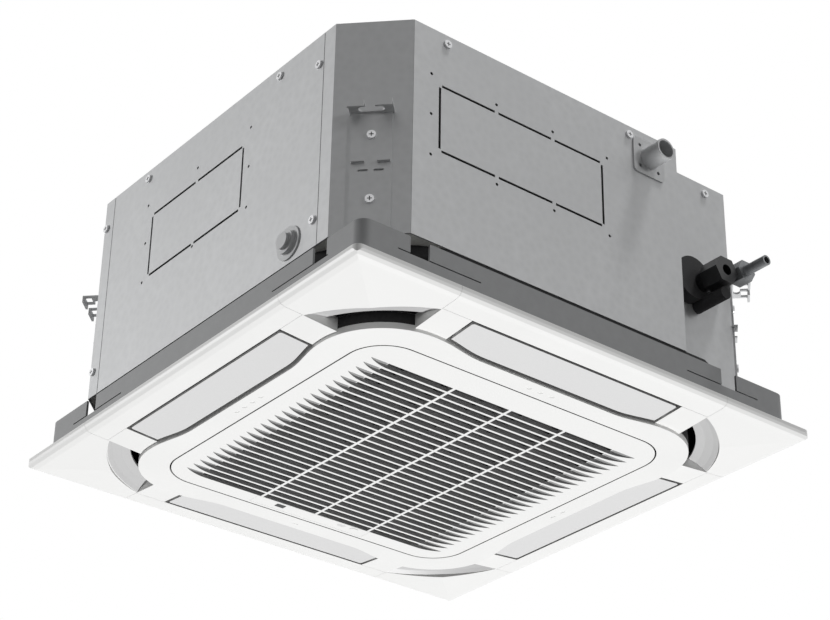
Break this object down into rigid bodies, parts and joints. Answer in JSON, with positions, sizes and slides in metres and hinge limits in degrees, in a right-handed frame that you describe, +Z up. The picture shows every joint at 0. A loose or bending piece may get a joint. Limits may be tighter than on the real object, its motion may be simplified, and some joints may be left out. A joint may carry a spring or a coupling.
{
  "type": "ceiling cassette air conditioner",
  "caption": "Compact four-way ceiling cassette air conditioner with white panel, corner outlets, drop-down intake grille and galvanised casing with hanging brackets.",
  "frame": {"origin": "centre of the square ceiling opening, in the plane of the ceiling's underside", "axes": "+Z up into the ceiling void; +X towards the side with drain and pipes; +Y completes a right-handed frame"},
  "size_m": [0.648, 0.62, 0.3362],
  "materials": {
    "galvanised_steel": "matte galvanised",
    "bright_steel": "bright zinc",
    "white_abs": "satin",
    "louvre_grey": "satin",
    "white_foam": "foamed polystyrene",
    "dark_foam": "foamed polystyrene",
    "black_plastic": "satin",
    "dark_plastic": "satin",
    "grey_plastic": "satin",
    "black_rubber": "matte",
    "coil_fins": "bare fins",
    "copper_tube": "bare copper",
    "black_pipe": "black coating",
    "dark_pipe": "dark grey coating",
    "circuit_green": "board"
  },
  "bodies": {
    "root": {"top_plate": "galvanised_steel", "side_cover_left": "galvanised_steel", "side_cover_pipes": "galvanised_steel", "side_cover_back": "galvanised_steel", "side_cover_display": "galvanised_steel", "pipe_plate": "galvanised_steel", "corner_post_near": "galvanised_steel", "corner_post_right": "galvanised_steel", "corner_post_far": "galvanised_steel", "corner_post_left": "galvanised_steel", "hanger_near": "galvanised_steel", "hanger_right": "galvanised_steel", "hanger_far": "galvanised_steel", "hanger_left": "galvanised_steel", "foam_liner": "dark_foam", "drain_pan": "white_foam", "coil": "coil_fins", "coil_plates": "galvanised_steel", "coil_bends": "copper_tube", "bellmouth": "black_plastic", "fan_motor": "galvanised_steel", "motor_mount": "galvanised_steel", "motor_grommets": "black_rubber", "electric_box": "galvanised_steel", "circuit_board": "circuit_green", "drain_pump": "grey_plastic", "pump_hose": "black_rubber", "float_stem": "white_abs", "drain_outlet": "grey_plastic", "test_cap": "grey_plastic", "pipe_seal": "black_rubber", "gas_line": "black_pipe", "liquid_line": "dark_pipe", "casing_screws": "bright_steel", "panel_frame": "white_abs", "panel_skirt": "dark_plastic", "panel_seal": "black_rubber", "ceiling_gasket": "black_rubber", "corner_covers": "white_abs", "panel_ring": "white_abs", "air_ducts": "dark_foam", "panel_bolts": "bright_steel", "louvre_motors": "bright_steel", "latch_cases": "white_abs"},
    "fan": {"fan_wheel": "dark_plastic", "fan_shaft": "bright_steel", "fan_nut": "bright_steel"},
    "grille_door": {"grille": "white_abs", "hinge_arms": "white_abs", "filter": "black_plastic", "display_window": "white_abs", "display_box": "white_abs"},
    "button": {"display_button": "white_abs"},
    "latch_a": {"latch_plunger_a": "black_plastic"},
    "latch_b": {"latch_plunger_b": "black_plastic"},
    "float_ball": {"float": "grey_plastic"},
    "flap_left": {"louvre_left": "louvre_grey"},
    "flap_pipes": {"louvre_pipes": "louvre_grey"},
    "flap_back": {"louvre_back": "louvre_grey"},
    "flap_display": {"louvre_display": "louvre_grey"}
  },
  "joints": [
    {"name": "fan_spin", "type": "hinge", "parent": "root", "child": "fan", "pos_m": [0, 0, 0.2], "axis": [0, 0, 1], "continuous": true},
    {"name": "flap_left_swing", "type": "hinge", "parent": "root", "child": "flap_left", "pos_m": [0, -0.252, -0.0085], "axis": [1, 0, 0], "range_deg": [0, 55]},
    {"name": "flap_pipes_swing", "type": "hinge", "parent": "root", "child": "flap_pipes", "pos_m": [0.252, 0, -0.0085], "axis": [0, 1, 0], "range_deg": [0, 55]},
    {"name": "flap_back_swing", "type": "hinge", "parent": "root", "child": "flap_back", "pos_m": [0, 0.252, -0.0085], "axis": [-1, 0, 0], "range_deg": [0, 55]},
    {"name": "flap_display_swing", "type": "hinge", "parent": "root", "child": "flap_display", "pos_m": [-0.252, 0, -0.0085], "axis": [0, -1, 0], "range_deg": [0, 55]},
    {"name": "grille_drop", "type": "hinge", "parent": "root", "child": "grille_door", "pos_m": [0.214, 0, -0.012], "axis": [0, -1, 0], "range_deg": [0, 80]},
    {"name": "button_press", "type": "slide", "parent": "grille_door", "child": "button", "axis": [0, 0, 1], "range_m": [0, 0.001], "stiffness_N_per_m": 200},
    {"name": "latch_a_press", "type": "slide", "parent": "root", "child": "latch_a", "axis": [0, 0, 1], "range_m": [0, 0.003], "stiffness_N_per_m": 200, "springref_m": -0.001},
    {"name": "latch_b_press", "type": "slide", "parent": "root", "child": "latch_b", "axis": [0, 0, 1], "range_m": [0, 0.003], "stiffness_N_per_m": 200, "springref_m": -0.001},
    {"name": "float_rise", "type": "slide", "parent": "root", "child": "float_ball", "axis": [0, 0, 1], "range_m": [0, 0.008]}
  ]
}
